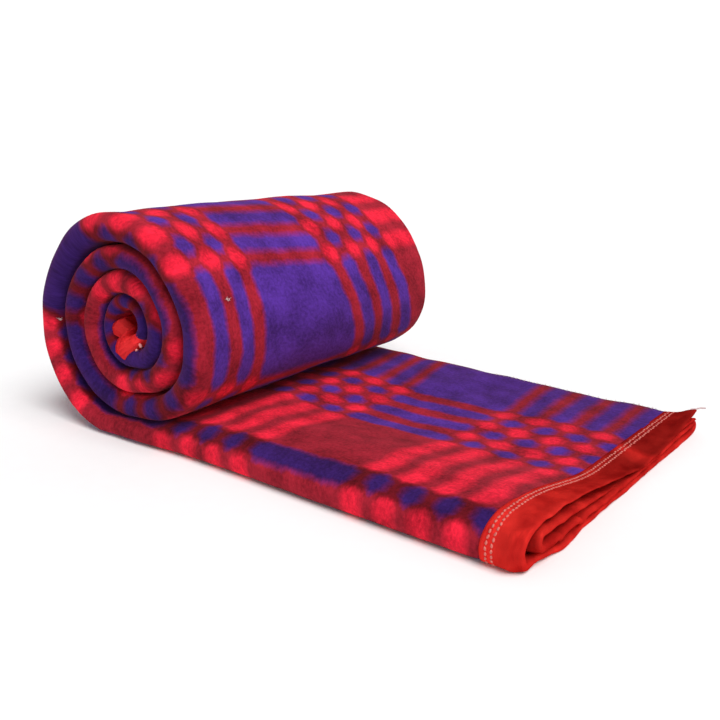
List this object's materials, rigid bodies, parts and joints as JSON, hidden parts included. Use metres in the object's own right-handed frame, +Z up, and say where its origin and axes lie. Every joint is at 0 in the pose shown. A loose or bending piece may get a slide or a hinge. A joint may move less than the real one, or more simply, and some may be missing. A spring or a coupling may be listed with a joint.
{
  "type": "rolled blanket",
  "caption": "Plaid pile blanket folded lengthwise and rolled up, with one satin-bound end lying flat; a soft throw to lay on beds, sofas or shelves.",
  "frame": {"origin": "bottom centre of the whole blanket's box, on the surface it lies on", "axes": "+X along the flat end, away from the roll; +Y along the roll, from the round folds to the open edges; +Z up"},
  "size_m": [0.5791, 0.406, 0.2263],
  "materials": {
    "plaid_wool": "raised pile",
    "red_satin": "satin"
  },
  "bodies": {
    "root": {"blanket_cloth": "plaid_wool", "end_binding": "red_satin", "core_binding": "red_satin"}
  },
  "joints": []
}
